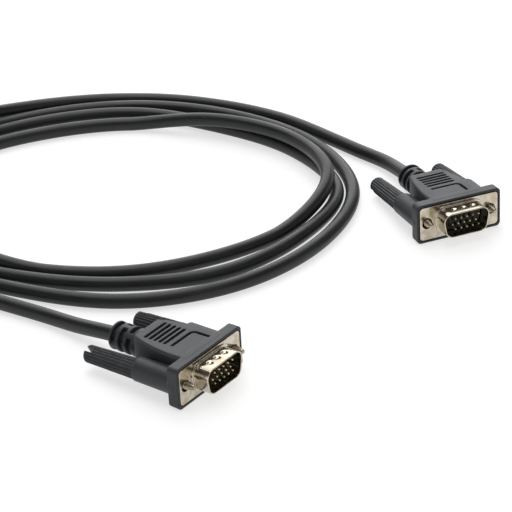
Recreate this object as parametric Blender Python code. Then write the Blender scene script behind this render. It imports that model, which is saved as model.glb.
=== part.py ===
"""Monitor cable with a 15-pin D-shaped plug on each end, lying in three loose turns.

Both plugs are the same. Each is built in its own frame under an empty: +X is the way it
plugs in, Y runs across it and +Z is its wide side, with the origin in the middle of the
front face of its metal plate. Lengths are in metres, written as millimetres times MM.
"""

import math

import bmesh
import bpy
from mathutils import Matrix, Vector

MM = 0.001
GAP = 0.3 * MM          # air kept between pieces that touch
PAST = 1.0 * MM         # how far a cutter runs past what it cuts

# Contacts of a high-density 15-way D connector
PIN_PITCH = 2.29 * MM
ROW_PITCH = 1.98 * MM
ROW_STAGGER = 0.57 * MM
PIN_RADIUS = 0.38 * MM
PIN_TIP = 5.15 * MM
PIN_BACK = -6.0 * MM

# Shaft of the jack screws, and the hole it has play in
SCREW_RADIUS = 1.42 * MM
SCREW_PLAY = 0.53 * MM
SCREW_HOLE = SCREW_RADIUS + SCREW_PLAY

# Metal shell: D-shaped skirt on a plate, with a hole on each side
PIN_TO_SIDE = 3.31 * MM     # from the outermost contacts to the skirt
PIN_TO_TOP = 2.2 * MM
SHELL_HALF_WIDTH = 2 * PIN_PITCH + ROW_STAGGER + PIN_TO_SIDE
SHELL_HALF_HEIGHT = ROW_PITCH + PIN_TO_TOP
SHELL_CORNER = 2.6 * MM
SHELL_SLANT = math.radians(10)
SHELL_WALL = 0.45 * MM
SHELL_FRONT = 5.95 * MM
COLLAR_WIDTH = 0.8 * MM
COLLAR_HEIGHT = 0.45 * MM
HOLE_TO_COLLAR = 0.835 * MM
HOLE_TO_EDGE = 0.955 * MM
COLLAR_TO_EDGE = 0.82 * MM
SCREW_SPACING = 2 * (SHELL_HALF_WIDTH + SHELL_WALL + COLLAR_WIDTH + HOLE_TO_COLLAR + SCREW_HOLE)
PLATE_WIDTH = SCREW_SPACING + 2 * (SCREW_HOLE + HOLE_TO_EDGE)
PLATE_HEIGHT = 2 * (SHELL_HALF_HEIGHT + SHELL_WALL + COLLAR_WIDTH + COLLAR_TO_EDGE)
PLATE_CORNER = 1.3 * MM
PLATE_THICKNESS = 0.8 * MM
INSULATOR_FRONT = 0.6 * MM

# Jack screws and their knobs, which hang in the sleeves by their play, knob down
SCREW_DROOP = math.radians(2.2)
SCREW_PIVOT = -10.0 * MM
SCREW_TIP = 3.7 * MM
SCREW_TIP_RADIUS = 0.75 * MM
SCREW_TAPER = 1.0 * MM
SCREW_BACK = -27.0 * MM
KNOB_BACK = -39.2 * MM
KNOB_FRONT_RADIUS = 3.5 * MM
KNOB_BACK_RADIUS = 3.0 * MM
KNOB_RIBS = 20
KNOB_RIB_DEPTH = 0.35 * MM
DRIVE_SLOT_WIDTH = 1.7 * MM
DRIVE_SLOT_DEPTH = 3.0 * MM

# Moulded hood
SIDE_RIM = 0.8 * MM     # wall of the hood beside the plate
TOP_RIM = 0.85 * MM     # wall of the hood over and under the plate
FLANGE_WIDTH = PLATE_WIDTH + 2 * (GAP + SIDE_RIM)
FLANGE_HEIGHT = PLATE_HEIGHT + 2 * (GAP + TOP_RIM)
FLANGE_DEPTH = 4.2 * MM
FLANGE_CORNER = 1.6 * MM
FLANGE_EDGE = 0.35 * MM
BODY_BACK = -24.6 * MM
BODY_SHOULDER = -16.5 * MM
BODY_FRONT_WIDTH = 18.4 * MM
BODY_BACK_WIDTH = 12.6 * MM
BODY_EDGE = 1.0 * MM
SLEEVE_BACK = -20.0 * MM
SLEEVE_FRONT_RADIUS = 3.9 * MM
SLEEVE_BACK_RADIUS = 3.75 * MM
TOP_DRAFT = math.radians(1.2)
BOTTOM_DRAFT = math.radians(3.1)
SLOT_COUNT = 5
SLOT_PITCH = 1.97 * MM
FIRST_SLOT = -21.4 * MM
SLOT_LENGTH = 10.8 * MM
SLOT_WIDTH = 1.0 * MM
SLOT_DEPTH = 1.0 * MM
GROOVE_LINE = -10.6 * MM     # bent groove: its run across the hood
GROOVE_SIDE = 5.7 * MM       # and its run along one side
GROOVE_END = -4.9 * MM
GROOVE_FRONT = -4.6 * MM
GROOVE_CORNER = 1.2 * MM
RELIEF_BACK = -38.0 * MM
RELIEF_RADIUS = 4.65 * MM
RELIEF_ROOT = 3.3 * MM
RELIEF_OVERLAP = 2.0 * MM
RING_GAPS = 3
RING_GAP_PITCH = 3.5 * MM
RING_GAP_WIDTH = 1.4 * MM
FIRST_RING_GAP = -34.3 * MM

# Where the plugs lie: middle of the plate on the table, heading of +X, and its rise
NEAR_PLACE = (-30.95 * MM, -61.3 * MM)
NEAR_HEADING = math.radians(-37.5)
NEAR_NOSE_UP = math.radians(1.6)
FAR_PLACE = (56.25 * MM, 32.3 * MM)
FAR_HEADING = math.radians(-67.3)
FAR_NOSE_UP = math.radians(3.1)

# Cable. Each turn passes 12 spokes 30 degrees apart, clockwise from the near left, at a
# radius and a height of its centre line that are chosen by hand, in millimetres.
CABLE_RADIUS = 2.6 * MM
COIL_CENTRE = (-60.6 * MM, 63.2 * MM)
FIRST_SPOKE = math.radians(-120)
SPOKE_STEP = math.radians(30)
FLOOR = 2.6
OVER = 8.2
SPOKES = [
    (83.4, FLOOR), (89.5, FLOOR), (93.5, FLOOR), (90.0, FLOOR),
    (79.8, FLOOR), (75.6, FLOOR), (74.6, FLOOR), (78.1, FLOOR),
    (81.3, FLOOR), (77.6, FLOOR), (75.5, FLOOR), (74.3, FLOOR),
    (74.0, FLOOR), (83.4, FLOOR), (87.2, FLOOR), (83.6, FLOOR),
    (74.0, FLOOR), (69.2, FLOOR), (64.4, FLOOR), (68.9, FLOOR),
    (75.7, FLOOR), (69.1, FLOOR), (66.1, FLOOR), (62.9, FLOOR),
    (66.2, FLOOR), (77.2, FLOOR), (80.9, FLOOR), (75.0, FLOOR),
    (64.2, FLOOR), (60.2, FLOOR), (60.0, 7.5), (68.0, OVER),
    (72.4, OVER), (61.9, FLOOR), (55.3, FLOOR), (55.3, FLOOR),
    (60.0, FLOOR), (71.2, 6.6), (80.5, 8.6), (90.5, 9.4),
    (85.9, 4.3), (82.1, FLOOR), (81.2, FLOOR),
]
NEAR_LEAD = [(8, 5.2), (17, 3.7)]       # distance behind the relief, height
FAR_LEAD = [(8, 4.0), (17, 2.9)]
NEAR_RUN = [(-81.9, -21.4, 2.7), (-91.0, -15.6, FLOOR)]
FAR_RUN = [(-2.6, 122.6, FLOOR), (12.7, 107.3, FLOOR), (25.2, 93.6, FLOOR)]
TUBE_STEP = 2 / 3                       # of a stretch of the route, so 18 points to a turn


def clear_scene():
    """Remove the objects of the file this runs from."""
    for item in list(bpy.data.objects):
        bpy.data.objects.remove(item, do_unlink=True)


def new_collection(name):
    """Make a collection in the scene."""
    made = bpy.data.collections.new(name)
    bpy.context.scene.collection.children.link(made)
    return made


def new_material(name, colour, roughness, metallic=0.0):
    """Make a Principled material from a linear colour."""
    made = bpy.data.materials.new(name)
    made.use_nodes = True
    shader = made.node_tree.nodes["Principled BSDF"]
    shader.inputs["Base Color"].default_value = (*colour, 1.0)
    shader.inputs["Roughness"].default_value = roughness
    shader.inputs["Metallic"].default_value = metallic
    return made


def add_mesh(name, shape, folder, parent=None, material=None):
    """Turn a bmesh into a named object with its normals facing out."""
    bmesh.ops.recalc_face_normals(shape, faces=shape.faces)
    mesh = bpy.data.meshes.new(name)
    shape.to_mesh(mesh)
    shape.free()
    made = bpy.data.objects.new(name, mesh)
    folder.objects.link(made)
    made.parent = parent
    if material:
        mesh.materials.append(material)
    return made


def smooth(item, angle=35):
    """Shade the curved faces smooth and leave the edges sharp."""
    for face in item.data.polygons:
        face.use_smooth = True
    item.data.set_sharp_from_angle(angle=math.radians(angle))


def prism(outline, back, front):
    """Extrude a flat outline of (y, z) points from x = back to x = front."""
    curve = bpy.data.curves.new("outline", "CURVE")
    curve.dimensions = "2D"
    curve.fill_mode = "BOTH"
    curve.extrude = (front - back) / 2
    spline = curve.splines.new("POLY")
    spline.points.add(len(outline) - 1)
    for point, (y, z) in zip(spline.points, outline):
        point.co = (y, z, 0, 1)
    spline.use_cyclic_u = True
    holder = bpy.data.objects.new("outline", curve)
    bpy.context.scene.collection.objects.link(holder)
    depsgraph = bpy.context.evaluated_depsgraph_get()
    mesh = bpy.data.meshes.new_from_object(holder.evaluated_get(depsgraph))
    shape = bmesh.new()
    shape.from_mesh(mesh)
    bpy.data.objects.remove(holder, do_unlink=True)
    bpy.data.curves.remove(curve)
    bpy.data.meshes.remove(mesh)
    bmesh.ops.remove_doubles(shape, verts=shape.verts, dist=MM / 1000)
    bmesh.ops.dissolve_limit(shape, angle_limit=math.radians(1), verts=shape.verts, edges=shape.edges)
    turn = Matrix(((0, 0, 1), (1, 0, 0), (0, 1, 0))).to_4x4()
    bmesh.ops.transform(shape, matrix=turn, verts=shape.verts)
    bmesh.ops.translate(shape, vec=((front + back) / 2, 0, 0), verts=shape.verts)
    return shape


def arc(y, z, radius, start, end, steps=5):
    """Points of a round corner, from one angle in degrees to another."""
    angles = [math.radians(start + (end - start) * i / steps) for i in range(steps + 1)]
    return [(y + radius * math.cos(a), z + radius * math.sin(a)) for a in angles]


def rounded_rectangle(width, height, corner, steps=5):
    """Outline of a rectangle with round corners."""
    y = width / 2 - corner
    z = height / 2 - corner
    return (
        arc(y, z, corner, 0, 90, steps)
        + arc(-y, z, corner, 90, 180, steps)
        + arc(-y, -z, corner, 180, 270, steps)
        + arc(y, -z, corner, 270, 360, steps)
    )


def d_outline(offset, steps=5):
    """Outline of the D, wide side up, moved out by offset from the shell's inside."""
    slant = math.degrees(SHELL_SLANT)
    z = SHELL_HALF_HEIGHT - SHELL_CORNER
    top = SHELL_HALF_WIDTH - SHELL_CORNER
    bottom = top - 2 * z * math.tan(SHELL_SLANT)
    radius = SHELL_CORNER + offset
    return (
        arc(top, z, radius, -slant, 90, steps)
        + arc(-top, z, radius, 90, 180 + slant, steps)
        + arc(-bottom, -z, radius, 180 + slant, 270, steps)
        + arc(bottom, -z, radius, 270, 360 - slant, steps)
    )


def cylinder(back, front, radius_back, radius_front, y=0.0, z=0.0, sides=24):
    """A closed cone or cylinder along X."""
    shape = bmesh.new()
    turn = Matrix.Rotation(math.radians(90), 4, "Y")
    place = Matrix.Translation(((back + front) / 2, y, z)) @ turn
    bmesh.ops.create_cone(
        shape, cap_ends=True, segments=sides, radius1=radius_back, radius2=radius_front,
        depth=front - back, matrix=place,
    )
    return shape


def box(back, front, width, height, y=0.0, z=0.0):
    """A box along X."""
    shape = bmesh.new()
    bmesh.ops.create_cube(shape, size=1.0)
    bmesh.ops.scale(shape, vec=(front - back, width, height), verts=shape.verts)
    bmesh.ops.translate(shape, vec=((front + back) / 2, y, z), verts=shape.verts)
    return shape


def join(shapes):
    """Put several closed shapes into one bmesh."""
    whole = bmesh.new()
    for shape in shapes:
        mesh = bpy.data.meshes.new("piece")
        shape.to_mesh(mesh)
        shape.free()
        whole.from_mesh(mesh)
        bpy.data.meshes.remove(mesh)
    return whole


def draft(shape):
    """Lower the top and raise the bottom towards the back, so that the hood tapers."""
    for vertex in shape.verts:
        lean = TOP_DRAFT if vertex.co.z > 0 else BOTTOM_DRAFT
        vertex.co.z *= 1 + vertex.co.x * math.tan(lean) / (FLANGE_HEIGHT / 2)


def combine(target, shape, operation, name, cutters):
    """Add a hidden tool and an exact Boolean modifier that uses it."""
    tool = add_mesh(name, shape, cutters, target.parent)
    tool.matrix_parent_inverse = Matrix()
    tool.hide_render = True
    tool.display_type = "WIRE"
    step = target.modifiers.new(name, "BOOLEAN")
    step.operation = operation
    step.solver = "EXACT"
    step.object = tool


def side_ys():
    """The two screw axes."""
    return (("left", SCREW_SPACING / 2), ("right", -SCREW_SPACING / 2))


def pin_places():
    """Name, y and z of the 15 contacts: three rows of five, the middle row shifted."""
    places = []
    for row in range(3):
        shift = -ROW_STAGGER if row == 1 else ROW_STAGGER
        for column in range(5):
            number = row * 5 + column + 1
            places.append((number, shift + (2 - column) * PIN_PITCH, (1 - row) * ROW_PITCH))
    return places


def hood_flange():
    """Front block of the hood, with round corners and softened edges."""
    outline = rounded_rectangle(FLANGE_WIDTH, FLANGE_HEIGHT, FLANGE_CORNER)
    shape = prism(outline, -FLANGE_DEPTH, 0)
    rims = [edge for edge in shape.edges if abs(edge.verts[0].co.x - edge.verts[1].co.x) < GAP / 10]
    bmesh.ops.bevel(shape, geom=rims, offset=FLANGE_EDGE, segments=2, profile=0.5, affect="EDGES")
    draft(shape)
    return shape


def hood_body():
    """Middle block of the hood, narrowing to the back, with softened edges."""
    shape = box(BODY_BACK, -FLANGE_DEPTH / 2, BODY_FRONT_WIDTH, FLANGE_HEIGHT)
    geometry = shape.verts[:] + shape.edges[:] + shape.faces[:]
    bmesh.ops.bisect_plane(
        shape, geom=geometry, plane_co=(BODY_SHOULDER, 0, 0), plane_no=(1, 0, 0), dist=MM / 1000
    )
    for vertex in shape.verts:
        if vertex.co.x < BODY_BACK + GAP:
            vertex.co.y *= BODY_BACK_WIDTH / BODY_FRONT_WIDTH
    soft = [edge for edge in shape.edges if all(abs(v.co.x + FLANGE_DEPTH / 2) > GAP for v in edge.verts)]
    bmesh.ops.bevel(shape, geom=soft, offset=BODY_EDGE, segments=3, profile=0.5, affect="EDGES",
                    clamp_overlap=True)
    draft(shape)
    return shape


def hood_relief():
    """Strain relief: a round stem with grooves that let it bend."""
    rings = []
    front = BODY_BACK + RELIEF_OVERLAP
    stem = cylinder(RELIEF_BACK + GAP, front, RELIEF_ROOT, RELIEF_ROOT, sides=32)
    start = RELIEF_BACK
    for i in range(RING_GAPS):
        end = FIRST_RING_GAP + i * RING_GAP_PITCH - RING_GAP_WIDTH / 2
        rings.append((start, end))
        start = end + RING_GAP_WIDTH
    rings.append((start, front))
    return stem, [cylinder(a, b, RELIEF_RADIUS, RELIEF_RADIUS, sides=32) for a, b in rings]


def roof(x):
    """Height of the hood's tapering top at x."""
    return FLANGE_HEIGHT / 2 + x * math.tan(TOP_DRAFT)


def grip_slots():
    """Cutters for the row of slots across the back of the hood's top."""
    cutters = []
    for i in range(SLOT_COUNT):
        x = FIRST_SLOT + i * SLOT_PITCH
        cutters.append(box(x - SLOT_WIDTH / 2, x + SLOT_WIDTH / 2, SLOT_LENGTH, 2 * SLOT_DEPTH, 0, roof(x)))
    return join(cutters)


def bent_groove():
    """Cutter for the L-shaped groove in front of the slots, with a round corner."""
    half = SLOT_WIDTH / 2
    x = GROOVE_LINE + GROOVE_CORNER
    y = GROOVE_SIDE - GROOVE_CORNER
    outline = (
        [(GROOVE_LINE - half, GROOVE_END)]
        + arc(x, y, GROOVE_CORNER + half, 180, 90)
        + [(GROOVE_FRONT, GROOVE_SIDE + half), (GROOVE_FRONT, GROOVE_SIDE - half)]
        + arc(x, y, GROOVE_CORNER - half, 90, 180)
        + [(GROOVE_LINE + half, GROOVE_END)]
    )
    shape = prism(outline, roof(GROOVE_LINE) - SLOT_DEPTH, roof(0) + PAST)
    upright = Matrix(((0, 1, 0), (0, 0, 1), (1, 0, 0))).to_4x4()
    bmesh.ops.transform(shape, matrix=upright, verts=shape.verts)
    return shape


def build_hood(prefix, folder, cutters, parent, material):
    """The moulded hood: flange, body, two screw sleeves and strain relief in one piece."""
    hood = add_mesh(prefix + "hood", hood_flange(), folder, parent, material)
    combine(hood, hood_body(), "UNION", prefix + "body_tool", cutters)
    for side, y in side_ys():
        sleeve = cylinder(SLEEVE_BACK, -FLANGE_DEPTH / 2, SLEEVE_BACK_RADIUS, SLEEVE_FRONT_RADIUS, y)
        combine(hood, sleeve, "UNION", prefix + side + "_sleeve_tool", cutters)
    stem, rings = hood_relief()
    combine(hood, stem, "UNION", prefix + "stem_tool", cutters)
    combine(hood, join(rings), "UNION", prefix + "rings_tool", cutters)
    recess = rounded_rectangle(PLATE_WIDTH + 2 * GAP, PLATE_HEIGHT + 2 * GAP, PLATE_CORNER + GAP)
    combine(hood, prism(recess, -PLATE_THICKNESS - GAP, PAST), "DIFFERENCE", prefix + "recess_tool", cutters)
    well = prism(d_outline(0), PIN_BACK - GAP, PAST)
    combine(hood, well, "DIFFERENCE", prefix + "well_tool", cutters)
    for side, y in side_ys():
        bore = cylinder(SLEEVE_BACK - PAST, PAST, SCREW_HOLE, SCREW_HOLE, y, sides=20)
        combine(hood, bore, "DIFFERENCE", prefix + side + "_bore_tool", cutters)
    combine(hood, grip_slots(), "DIFFERENCE", prefix + "slots_tool", cutters)
    combine(hood, bent_groove(), "DIFFERENCE", prefix + "bent_groove_tool", cutters)
    return hood


def build_shell(prefix, folder, cutters, parent, material):
    """Plated steel plate with the D-shaped skirt drawn out of it."""
    plate = rounded_rectangle(PLATE_WIDTH, PLATE_HEIGHT, PLATE_CORNER)
    shell = add_mesh(prefix + "shell", prism(plate, -PLATE_THICKNESS, 0), folder, parent, material)
    collar = prism(d_outline(SHELL_WALL + COLLAR_WIDTH), -PLATE_THICKNESS / 2, COLLAR_HEIGHT)
    combine(shell, collar, "UNION", prefix + "collar_tool", cutters)
    skirt = prism(d_outline(SHELL_WALL), -PLATE_THICKNESS / 2, SHELL_FRONT)
    combine(shell, skirt, "UNION", prefix + "skirt_tool", cutters)
    hollow = prism(d_outline(0), -PLATE_THICKNESS - PAST, SHELL_FRONT + PAST)
    combine(shell, hollow, "DIFFERENCE", prefix + "hollow_tool", cutters)
    for side, y in side_ys():
        hole = cylinder(-PLATE_THICKNESS - PAST, PAST, SCREW_HOLE, SCREW_HOLE, y)
        combine(shell, hole, "DIFFERENCE", prefix + side + "_hole_tool", cutters)
    return shell


def build_insulator(prefix, folder, cutters, parent, material):
    """Black block that holds the contacts, one hole for each."""
    block = prism(d_outline(-GAP), PIN_BACK, INSULATOR_FRONT)
    insulator = add_mesh(prefix + "insulator", block, folder, parent, material)
    radius = PIN_RADIUS + GAP
    holes = [
        cylinder(PIN_BACK - PAST, INSULATOR_FRONT + PAST, radius, radius, y, z, sides=10)
        for number, y, z in pin_places()
    ]
    combine(insulator, join(holes), "DIFFERENCE", prefix + "pin_holes_tool", cutters)
    return insulator


def build_pins(prefix, folder, parent, material):
    """The 15 round contacts, each with a tapered tip."""
    for number, y, z in pin_places():
        shape = cylinder(PIN_BACK, PIN_TIP, PIN_RADIUS, PIN_RADIUS, y, z, sides=10)
        tips = [
            edge for edge in shape.edges if all(v.co.x > PIN_TIP - GAP for v in edge.verts)
        ]
        bmesh.ops.bevel(shape, geom=tips, offset=PIN_RADIUS * 0.5, segments=2, profile=0.5, affect="EDGES")
        smooth(add_mesh(f"{prefix}pin_{number:02d}", shape, folder, parent, material), 50)


def hang_screw(name, y, folder, parent):
    """Empty on a screw's axis, tilted about the pivot by the screw's play."""
    made = bpy.data.objects.new(name, None)
    folder.objects.link(made)
    made.parent = parent
    made.location = (SCREW_PIVOT * (1 - math.cos(SCREW_DROOP)), y, -SCREW_PIVOT * math.sin(SCREW_DROOP))
    made.rotation_euler = (0, -SCREW_DROOP, 0)
    return made


def build_knob(name, folder, cutters, parent, material):
    """Ribbed thumb knob, moulded over the back of its screw, with a driver slot."""
    front = SLEEVE_BACK - GAP
    shape = cylinder(KNOB_BACK, front, KNOB_BACK_RADIUS, KNOB_FRONT_RADIUS, sides=2 * KNOB_RIBS)
    for vertex in shape.verts:
        angle = math.atan2(vertex.co.z, vertex.co.y)
        if round(angle / (math.pi / KNOB_RIBS)) % 2:
            radius = math.hypot(vertex.co.y, vertex.co.z)
            keep = (radius - KNOB_RIB_DEPTH) / radius
            vertex.co.y *= keep
            vertex.co.z *= keep
    knob = add_mesh(name, shape, folder, parent, material)
    socket = cylinder(SCREW_BACK - GAP, front + PAST, SCREW_RADIUS + GAP, SCREW_RADIUS + GAP, sides=20)
    combine(knob, socket, "DIFFERENCE", name + "_socket_tool", cutters)
    slot = box(KNOB_BACK - PAST, KNOB_BACK + DRIVE_SLOT_DEPTH, 3 * KNOB_FRONT_RADIUS, DRIVE_SLOT_WIDTH)
    combine(knob, slot, "DIFFERENCE", name + "_slot_tool", cutters)


def build_screw(name, folder, parent, material):
    """Jack screw, captive in the sleeve; its end tapers from SCREW_TAPER on."""
    shape = cylinder(SCREW_BACK, SCREW_TIP, SCREW_RADIUS, SCREW_RADIUS, sides=20)
    every = shape.verts[:] + shape.edges[:] + shape.faces[:]
    bmesh.ops.bisect_plane(shape, geom=every, plane_co=(SCREW_TAPER, 0, 0), plane_no=(1, 0, 0))
    for vertex in shape.verts:
        if vertex.co.x > SCREW_TIP - GAP:
            vertex.co.y *= SCREW_TIP_RADIUS / SCREW_RADIUS
            vertex.co.z *= SCREW_TIP_RADIUS / SCREW_RADIUS
    smooth(add_mesh(name, shape, folder, parent, material))


def build_plug(prefix, place, heading, nose_up, folder, cutters, materials):
    """One whole plug on its own empty."""
    frame = bpy.data.objects.new(prefix + "frame", None)
    folder.objects.link(frame)
    frame.location = (*place, FLANGE_HEIGHT / 2 * math.cos(nose_up))
    frame.rotation_euler = (0, -nose_up, heading)
    smooth(build_hood(prefix, folder, cutters, frame, materials["hood"]))
    smooth(build_shell(prefix, folder, cutters, frame, materials["plating"]))
    build_insulator(prefix, folder, cutters, frame, materials["insulator"])
    build_pins(prefix, folder, frame, materials["contact"])
    for side, y in side_ys():
        axis = hang_screw(prefix + side + "_axis", y, folder, frame)
        build_knob(prefix + side + "_knob", folder, cutters, axis, materials["hood"])
        build_screw(prefix + side + "_screw", folder, axis, materials["plating"])


def plug_point(place, heading, nose_up, x):
    """A point on a plug's axis, in the shared frame."""
    reach = x * math.cos(nose_up)
    height = FLANGE_HEIGHT / 2 * math.cos(nose_up) + x * math.sin(nose_up)
    return Vector((place[0] + reach * math.cos(heading), place[1] + reach * math.sin(heading), height))


def lead(place, heading, nose_up, drop):
    """First route points behind a plug: straight out of the relief, then down."""
    points = [plug_point(place, heading, nose_up, RELIEF_BACK - GAP)]
    for distance, height in drop:
        point = plug_point(place, heading, nose_up, RELIEF_BACK - GAP - distance * MM)
        point.z = height * MM
        points.append(point)
    return points


def cable_route():
    """Route points from the near plug, round the turns, to the far plug."""
    points = lead(NEAR_PLACE, NEAR_HEADING, NEAR_NOSE_UP, NEAR_LEAD)
    points += [Vector(spot) * MM for spot in NEAR_RUN]
    for i, (radius, height) in enumerate(SPOKES):
        angle = FIRST_SPOKE - i * SPOKE_STEP
        x = COIL_CENTRE[0] + radius * MM * math.cos(angle)
        y = COIL_CENTRE[1] + radius * MM * math.sin(angle)
        points.append(Vector((x, y, height * MM)))
    points += [Vector(spot) * MM for spot in FAR_RUN]
    return points + lead(FAR_PLACE, FAR_HEADING, FAR_NOSE_UP, FAR_LEAD)[::-1]


def smooth_curve(points, part):
    """Points of a cubic curve through the route points, one at each given part of a stretch."""
    steps = [(b - a).length for a, b in zip(points, points[1:])]
    slopes = [(b - a) / step for a, b, step in zip(points, points[1:], steps)]
    tangents = [slopes[0]]
    for i in range(1, len(slopes)):
        total = steps[i - 1] + steps[i]
        tangents.append((slopes[i - 1] * steps[i] + slopes[i] * steps[i - 1]) / total)
    tangents.append(slopes[-1])
    made = []
    for k in range(math.ceil(len(steps) / part)):
        i = min(int(k * part + part / 10), len(steps) - 1)
        t = k * part - i
        point = points[i] * (2 * t**3 - 3 * t**2 + 1) + points[i + 1] * (3 * t**2 - 2 * t**3)
        point += tangents[i] * steps[i] * (t**3 - 2 * t**2 + t) + tangents[i + 1] * steps[i] * (t**3 - t**2)
        point.z = max(point.z, CABLE_RADIUS)
        made.append(point)
    return made + [points[-1]]


def build_cable(folder, material):
    """The cable as one tube along its whole route."""
    points = smooth_curve(cable_route(), TUBE_STEP)
    curve = bpy.data.curves.new("cable", "CURVE")
    curve.dimensions = "3D"
    curve.bevel_depth = CABLE_RADIUS
    curve.bevel_resolution = 3
    curve.use_fill_caps = True
    spline = curve.splines.new("POLY")
    spline.points.add(len(points) - 1)
    for target, point in zip(spline.points, points):
        target.co = (*point, 1)
    curve.materials.append(material)
    folder.objects.link(bpy.data.objects.new("cable", curve))


def main():
    """Build the whole cable assembly."""
    clear_scene()
    folder = new_collection("monitor_cable")
    cutters = new_collection("cutters")
    materials = {
        "hood": new_material("charcoal moulded pvc", (0.052, 0.054, 0.060), 0.55),
        "plating": new_material("nickel plated steel", (0.62, 0.58, 0.50), 0.3, 1.0),
        "insulator": new_material("black nylon", (0.012, 0.012, 0.012), 0.5),
        "contact": new_material("gold plated brass", (0.80, 0.58, 0.25), 0.3, 1.0),
        "jacket": new_material("charcoal pvc jacket", (0.020, 0.021, 0.024), 0.45),
    }
    build_plug("near_", NEAR_PLACE, NEAR_HEADING, NEAR_NOSE_UP, folder, cutters, materials)
    build_plug("far_", FAR_PLACE, FAR_HEADING, FAR_NOSE_UP, folder, cutters, materials)
    build_cable(folder, materials["jacket"])


main()
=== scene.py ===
"""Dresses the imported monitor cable: moulded hoods, plated shells, contacts, thumbscrews and jacket.

Shapes are worked out in millimetres in each plug's own frame, where +X is the way it plugs in, Y runs
across it, +Z is its wide side and the origin is the middle of the metal plate's front face.
"""

from __future__ import annotations

import logging
import math
from collections.abc import Callable
from dataclasses import dataclass, field
from enum import Enum

import bpy
import numpy as np
from mathutils import Matrix, Vector

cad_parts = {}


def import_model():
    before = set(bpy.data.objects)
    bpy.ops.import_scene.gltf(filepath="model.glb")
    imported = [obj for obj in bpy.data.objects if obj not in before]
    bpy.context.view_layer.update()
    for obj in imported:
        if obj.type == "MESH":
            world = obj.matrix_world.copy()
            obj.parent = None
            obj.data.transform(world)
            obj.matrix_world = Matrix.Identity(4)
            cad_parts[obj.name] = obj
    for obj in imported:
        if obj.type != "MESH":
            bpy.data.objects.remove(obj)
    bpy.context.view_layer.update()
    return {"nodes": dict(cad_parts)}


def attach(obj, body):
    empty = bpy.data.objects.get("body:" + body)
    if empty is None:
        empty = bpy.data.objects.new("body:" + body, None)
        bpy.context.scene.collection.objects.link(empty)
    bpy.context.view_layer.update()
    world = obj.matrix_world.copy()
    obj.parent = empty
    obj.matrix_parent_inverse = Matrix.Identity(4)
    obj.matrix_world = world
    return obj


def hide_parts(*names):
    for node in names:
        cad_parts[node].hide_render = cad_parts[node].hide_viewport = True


LOG = logging.getLogger("monitor_cable")
MM = 0.001
FULL_TURN = 2 * math.pi
NOISE_LOW, NOISE_HIGH = 0.3, 0.7      # nearly all of a noise lies between these
FAR_AWAY = 1e3
PROBE = 0.1              # how far from a point its slope is felt, in cells
SLIDES = 2               # times that a point slides onto the surface
LONGEST_SLIDE = 0.3      # in cells
FLATTEST = 0.25          # least square of a slope that is divided by
NEARLY_ZERO = 0.001      # size of a ring that closes an end
PINS, PINS_IN_ROW = 15, 5
PVC_IOR = 1.52
WHITE = (1.0, 1.0, 1.0, 1.0)
ROOT_BODY = "cable_and_plugs"
Distance = Callable[[np.ndarray], np.ndarray]
Surface = tuple[np.ndarray, np.ndarray]      # points and quads


class End(Enum):
    """Which end of the cable a plug is on; the value starts its nodes' names."""

    NEAR = "near"
    FAR = "far"


class Side(Enum):
    """Which side of a plug a thumbscrew is on; the value is the sign of its Y."""

    LEFT = 1
    RIGHT = -1

    @property
    def word(self) -> str:
        """Name of the side as the nodes have it."""
        return self.name.lower()


# ---- finishes


def linear(hex_colour: str) -> tuple[float, float, float, float]:
    """Turn an sRGB hex colour into linear RGBA.

    Args:
        hex_colour: Six hex digits.

    Returns:
        Linear red, green, blue and an alpha of 1.
    """
    values = [int(hex_colour[i:i + 2], 16) / 255 for i in (0, 2, 4)]
    made = [v / 12.92 if v <= 0.04045 else ((v + 0.055) / 1.055) ** 2.4 for v in values]
    return (*made, 1.0)


def add_node(
    tree: bpy.types.NodeTree,
    kind: str,
    settings: dict[str, object] | None = None,
    inputs: dict[str | int, object] | None = None,
) -> bpy.types.Node:
    """Add one node with its settings, values and links.

    Args:
        tree: The node tree that gets it.
        kind: Blender's name of the node type.
        settings: Properties of the node itself.
        inputs: Input name or index, with a plain value or an output socket to link from.

    Returns:
        The node.
    """
    node = tree.nodes.new(kind)
    for key, value in (settings or {}).items():
        setattr(node, key, value)
    for key, value in (inputs or {}).items():
        if isinstance(value, bpy.types.NodeSocket):
            tree.links.new(value, node.inputs[key])
        else:
            node.inputs[key].default_value = value
    return node


def set_ramp(node: bpy.types.Node, places: tuple[float, float], colours: tuple[str, str]) -> None:
    """Give a colour ramp its two stops.

    Args:
        node: The ramp's node.
        places: Where the stops stand.
        colours: Their sRGB hex colours.
    """
    for element, place, colour in zip(node.color_ramp.elements, places, colours):
        element.position = place
        element.color = linear(colour)


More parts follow.
